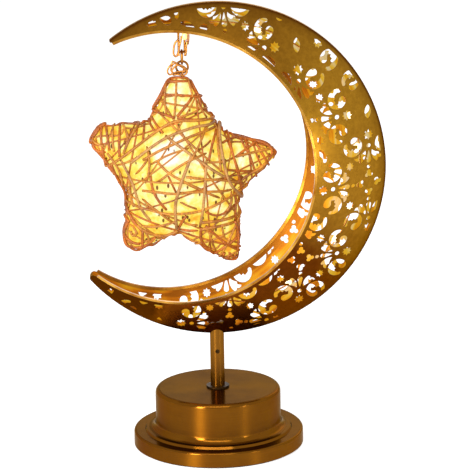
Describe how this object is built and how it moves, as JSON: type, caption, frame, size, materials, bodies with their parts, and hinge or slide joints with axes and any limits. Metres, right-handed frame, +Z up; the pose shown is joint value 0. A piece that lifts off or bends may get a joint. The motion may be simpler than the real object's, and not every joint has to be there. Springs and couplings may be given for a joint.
{
  "type": "crescent table lamp",
  "caption": "Pierced metal crescent on a round stepped base, with a lit rattan star hung in its mouth; a seasonal table lamp and ornament.",
  "frame": {"origin": "on the stem's axis, on the surface that the lamp stands on", "axes": "+Z up along the stem; the crescent lies in the X-Z plane with its horns towards -X and its front towards -Y"},
  "size_m": [0.1734, 0.1, 0.2643],
  "materials": {
    "base_cover": "brushed satin",
    "bottom_plate": "moulded",
    "cover_posts": "turned",
    "base_screws": "zinc",
    "foot_ring": "matte",
    "battery_tray": "moulded",
    "battery_cell_1": "printed sleeve",
    "battery_cell_2": "printed sleeve",
    "contact_springs": "nickel",
    "contact_plates": "nickel",
    "battery_door": "moulded",
    "switch_body": "moulded",
    "switch_slider": "moulded",
    "driver_board": "lacquered board",
    "board_chip": "moulded",
    "light_string": "lacquered copper wire",
    "stem_tube": "brushed satin",
    "stem_collar": "darkened",
    "set_screw": "dark",
    "spreader_washer": "zinc",
    "lock_washer": "zinc",
    "stem_nut": "zinc",
    "crescent_stub": "zinc",
    "stub_washer": "zinc",
    "stub_nut": "zinc",
    "wire_grommet": "matte",
    "front_shell": "polished antique gold",
    "back_shell": "polished antique gold",
    "front_rim_bead": "polished",
    "back_rim_bead": "polished",
    "hanger_bar": "polished",
    "crescent_drops": "clear resin over a warm light",
    "hanger_loop": "bright wire",
    "hanger_strands": "lacquered copper wire",
    "hanger_drop": "clear resin over a warm light",
    "hanger_link": "bright wire",
    "star_eye": "bright wire",
    "star_frame": "drawn wire",
    "star_lining": "pale translucent paper cloth",
    "star_cage": "rattan strips",
    "star_string": "lacquered copper wire",
    "star_drops": "clear resin over a warm light"
  },
  "bodies": {
    "lamp": {"base_cover": "base_cover", "bottom_plate": "bottom_plate", "cover_posts": "cover_posts", "base_screws": "base_screws", "foot_ring": "foot_ring", "battery_tray": "battery_tray", "battery_cell_1": "battery_cell_1", "battery_cell_2": "battery_cell_2", "contact_springs": "contact_springs", "contact_plates": "contact_plates", "switch_body": "switch_body", "driver_board": "driver_board", "board_chip": "board_chip", "light_string": "light_string", "stem_tube": "stem_tube", "stem_collar": "stem_collar", "set_screw": "set_screw", "spreader_washer": "spreader_washer", "lock_washer": "lock_washer", "stem_nut": "stem_nut", "crescent_stub": "crescent_stub", "stub_washer": "stub_washer", "stub_nut": "stub_nut", "wire_grommet": "wire_grommet", "front_shell": "front_shell", "back_shell": "back_shell", "front_rim_bead": "front_rim_bead", "back_rim_bead": "back_rim_bead", "hanger_bar": "hanger_bar", "crescent_drops": "crescent_drops"},
    "switch": {"switch_slider": "switch_slider"},
    "door": {"battery_door": "battery_door"},
    "hanger": {"hanger_loop": "hanger_loop", "hanger_strands": "hanger_strands", "hanger_drop": "hanger_drop"},
    "link": {"hanger_link": "hanger_link"},
    "star": {"star_eye": "star_eye", "star_frame": "star_frame", "star_lining": "star_lining", "star_cage": "star_cage", "star_string": "star_string", "star_drops": "star_drops"}
  },
  "joints": [
    {"name": "switch_slide", "type": "slide", "parent": "lamp", "child": "switch", "axis": [0, 1, 0], "range_m": [0, 0.0024]},
    {"name": "door_hinge", "type": "hinge", "parent": "lamp", "child": "door", "pos_m": [0, -0.0275, 0.0018], "axis": [-1, 0, 0], "range_deg": [0, 90]},
    {"name": "hanger_swing", "type": "hinge", "parent": "lamp", "child": "hanger", "pos_m": [-0.0172, 0, 0.25162], "axis": [0, 1, 0], "range_deg": [-6, 6]},
    {"name": "link_swing", "type": "hinge", "parent": "hanger", "child": "link", "pos_m": [-0.0172, 0, 0.23512], "axis": [1, 0, 0], "range_deg": [-10, 10]},
    {"name": "star_swing", "type": "hinge", "parent": "link", "child": "star", "pos_m": [-0.0172, 0, 0.22872], "axis": [0, 1, 0], "range_deg": [-5, 5]}
  ]
}
